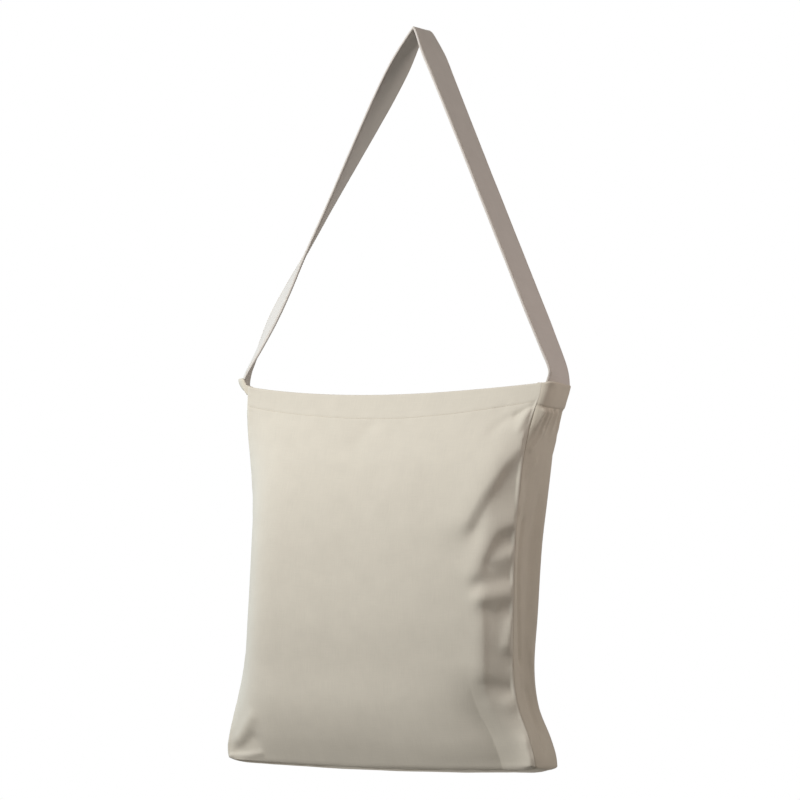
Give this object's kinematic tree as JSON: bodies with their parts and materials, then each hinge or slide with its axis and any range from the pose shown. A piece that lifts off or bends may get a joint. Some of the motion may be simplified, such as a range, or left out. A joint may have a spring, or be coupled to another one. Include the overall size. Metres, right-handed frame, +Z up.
{
  "type": "tote bag",
  "caption": "Soft cloth tote bag with a gusset and a turned-in hem, hanging open from one wide shoulder strap sewn into its sides",
  "frame": {"origin": "the underside of the strap's crest, where the bag hangs from a shoulder, a hook or a hand", "axes": "+Z up along the hanging bag, -Y out of the front panel, +X to the viewer's right"},
  "size_m": [0.4157, 0.1426, 0.8482],
  "materials": {
    "panel_cloth": "undyed plain-weave cotton",
    "gusset_cloth": "undyed plain-weave cotton",
    "strap_cloth": "undyed plain-weave cotton, two layers"
  },
  "bodies": {
    "root": {"front_panel": "panel_cloth", "back_panel": "panel_cloth", "gusset": "gusset_cloth", "top_hem": "panel_cloth", "shoulder_strap": "strap_cloth"}
  },
  "joints": []
}
